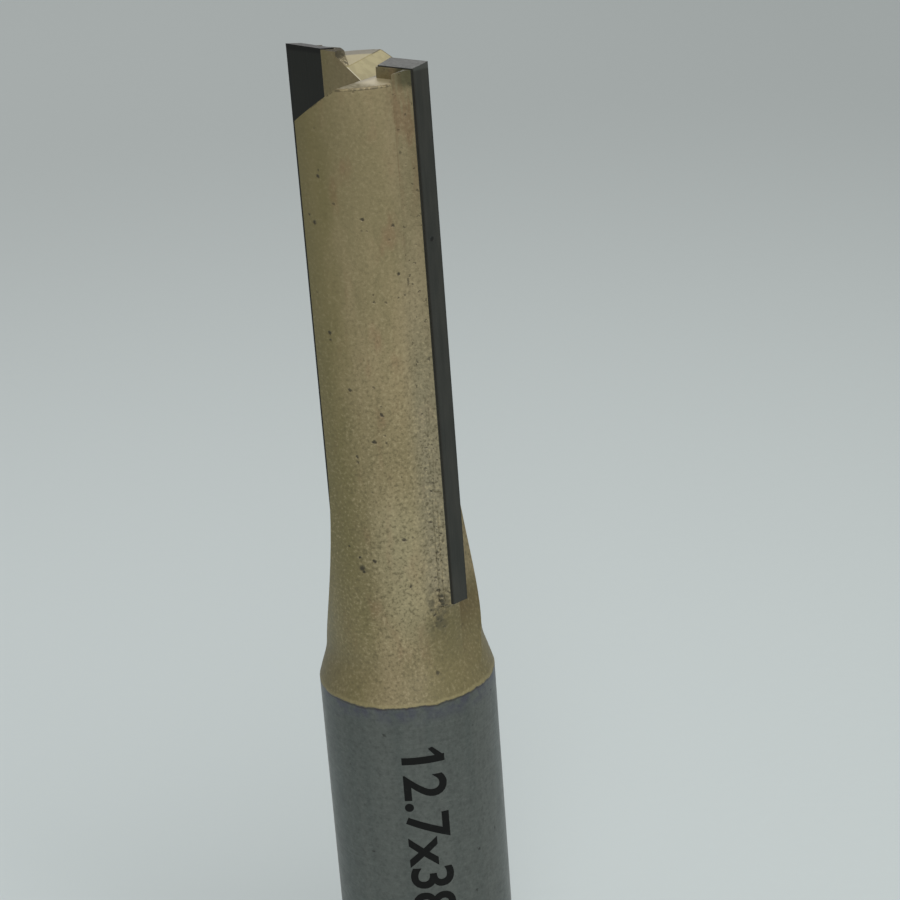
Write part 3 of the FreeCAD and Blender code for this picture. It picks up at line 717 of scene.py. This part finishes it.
def bead_line(turn):
    """The bead's line: down the corner behind a blade, then round under its foot."""
    side = math.sqrt(HEAD_RADIUS ** 2 - (BLADE_BACK + 0.1) ** 2)
    points = [
        (side - 0.12, -BLADE_BACK - 0.25, TIP_TOP - 1.3),
        (side - 0.03, -BLADE_BACK - 0.31, BLADE_FOOT + 0.5),
        (side - 0.06, -BLADE_BACK - 0.14, BLADE_FOOT - 0.05),
        (side + 0.05, -BLADE_BACK + 0.25, BLADE_FOOT - 0.18),
        (HEAD_RADIUS - 0.08, -0.35, BLADE_FOOT - 0.18),
    ]
    turned = Matrix.Rotation(turn, 3, "Z")
    return [turned @ Vector(point) * MM for point in points]


def make_beads(material):
    """A brazing bead beside each blade."""
    tree = make_bead_tree(material)
    inputs = {item.name: item.identifier for item in tree.interface.items_tree if item.in_out == "INPUT"}
    for number in (1, 2):
        points = bead_line(math.pi * (number - 1))
        mesh = bpy.data.meshes.new(f"bead_line_{number}")
        mesh.from_pydata(points, [(k, k + 1) for k in range(len(points) - 1)], [])
        line = bpy.data.objects.new(f"bead_line_{number}", mesh)
        bpy.context.scene.collection.objects.link(line)
        modifier = line.modifiers.new("bead", "NODES")
        modifier.node_group = tree
        modifier[inputs["Radius"]] = BEAD_RADIUS * MM
        modifier[inputs["Spacing"]] = BEAD_SPACING * MM
        modifier[inputs["Lumps"]] = BEAD_LUMPS
        bpy.context.view_layer.update()
        graph = bpy.context.evaluated_depsgraph_get()
        bead = bpy.data.meshes.new_from_object(line.evaluated_get(graph))
        line.modifiers.clear()
        bpy.data.objects.remove(line)
        shape = bmesh.new()
        shape.from_mesh(bead)
        bmesh.ops.remove_doubles(shape, verts=shape.verts, dist=1e-7)
        bmesh.ops.recalc_face_normals(shape, faces=shape.faces)
        shape.to_mesh(bead)
        shape.free()
        bead.shade_smooth()
        link_piece(f"braze_bead_{number}", bead)


def dress(node, material):
    """Give a CAD node its finish."""
    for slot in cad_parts[node].material_slots:
        slot.link = "OBJECT"
        slot.material = material


# Camera, floor and light

def make_camera():
    data = bpy.data.cameras.new("camera")
    data.lens = LENS
    data.clip_start = 0.005
    data.clip_end = 50
    camera = bpy.data.objects.new("camera", data)
    bpy.context.scene.collection.objects.link(camera)
    level = math.cos(CAMERA_ELEVATION)
    back = Vector((
        math.sin(CAMERA_AZIMUTH) * level,
        -math.cos(CAMERA_AZIMUTH) * level,
        math.sin(CAMERA_ELEVATION),
    ))
    side = Vector((math.cos(CAMERA_AZIMUTH), math.sin(CAMERA_AZIMUTH), 0))
    rise = back.cross(side)
    right = math.cos(CAMERA_ROLL) * side - math.sin(CAMERA_ROLL) * rise
    up = math.sin(CAMERA_ROLL) * side + math.cos(CAMERA_ROLL) * rise
    turn = Matrix((right, up, back)).transposed().to_4x4()
    camera.matrix_world = Matrix.Translation(CAMERA_PLACE) @ turn
    bpy.context.scene.camera = camera


def make_floor():
    half = FLOOR_SIZE / 2
    mesh = bpy.data.meshes.new("floor")
    corners = [(-half, -half, 0), (half, -half, 0), (half, half, 0), (-half, half, 0)]
    mesh.from_pydata(corners, [], [(0, 1, 2, 3)])
    mesh.materials.append(make_floor_finish())
    floor = bpy.data.objects.new("floor", mesh)
    bpy.context.scene.collection.objects.link(floor)


def make_lamp(name, place, aim, size, power):
    """A square soft box that shines from one place to another."""
    data = bpy.data.lights.new(name, "AREA")
    data.shape = "SQUARE"
    data.size = size
    data.energy = power
    lamp = bpy.data.objects.new(name, data)
    lamp.location = place
    lamp.rotation_mode = "QUATERNION"
    lamp.rotation_quaternion = (Vector(place) - Vector(aim)).to_track_quat("Z", "Y")
    bpy.context.scene.collection.objects.link(lamp)


def make_lights():
    world = bpy.data.worlds.new("studio")
    world.use_nodes = True
    world.node_tree.nodes["Background"].inputs["Color"].default_value = (1, 1, 1, 1)
    world.node_tree.nodes["Background"].inputs["Strength"].default_value = 0.40
    bpy.context.scene.world = world
    make_lamp("key_soft_box", (0.80, -0.42, 0.75), (0, 0, 0.06), 1.0, 11.5)
    make_lamp("back_soft_box", (-0.40, 0.44, 0.42), (0, 0, 0.08), 0.35, 0.45)


bpy.context.scene.view_settings.view_transform = "Standard"
pits_group = make_pits_group()
grinding_group = make_grinding_group()
lacquer_group = make_lacquer_group(pits_group, grinding_group)

make_camera()
make_floor()
make_lights()
dress("steel_body", make_body_finish(lacquer_group, pits_group, grinding_group))
carbide_finish = make_carbide_finish(pits_group, grinding_group)
seam_finish = make_seam_finish(lacquer_group)
for blade_number in (1, 2):
    dress(f"carbide_tip_{blade_number}", carbide_finish)
    dress(f"braze_seam_{blade_number}", seam_finish)
make_beads(seam_finish)
make_size_mark(make_mark_finish())
